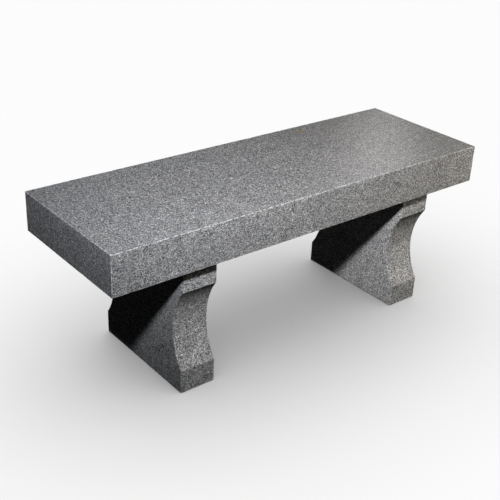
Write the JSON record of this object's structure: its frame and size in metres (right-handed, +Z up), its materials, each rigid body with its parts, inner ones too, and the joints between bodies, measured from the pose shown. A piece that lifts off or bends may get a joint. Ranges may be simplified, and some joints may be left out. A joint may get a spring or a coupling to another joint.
{
  "type": "backless bench",
  "caption": "Backless granite bench: a thick eased seat slab pinned and bedded on two pedestal supports with concave waisted ends.",
  "frame": {"origin": "on the ground under the middle of the seat slab", "axes": "+X along the seat towards the support with the shorter overhang, +Y to the back, +Z up"},
  "size_m": [1.2192, 0.4064, 0.4652],
  "materials": {
    "granite": "satin",
    "dowel_steel": "satin",
    "epoxy": "satin",
    "setting_cushion": "satin",
    "setting_compound": "matte"
  },
  "bodies": {
    "root": {"seat_slab": "granite", "left_support": "granite", "left_setting_bed": "setting_compound", "left_setting_cushion_1": "setting_cushion", "left_setting_cushion_2": "setting_cushion", "left_setting_cushion_3": "setting_cushion", "left_setting_cushion_4": "setting_cushion", "left_front_dowel": "dowel_steel", "left_front_epoxy": "epoxy", "left_back_dowel": "dowel_steel", "left_back_epoxy": "epoxy", "right_support": "granite", "right_setting_bed": "setting_compound", "right_setting_cushion_1": "setting_cushion", "right_setting_cushion_2": "setting_cushion", "right_setting_cushion_3": "setting_cushion", "right_setting_cushion_4": "setting_cushion", "right_front_dowel": "dowel_steel", "right_front_epoxy": "epoxy", "right_back_dowel": "dowel_steel", "right_back_epoxy": "epoxy"}
  },
  "joints": []
}
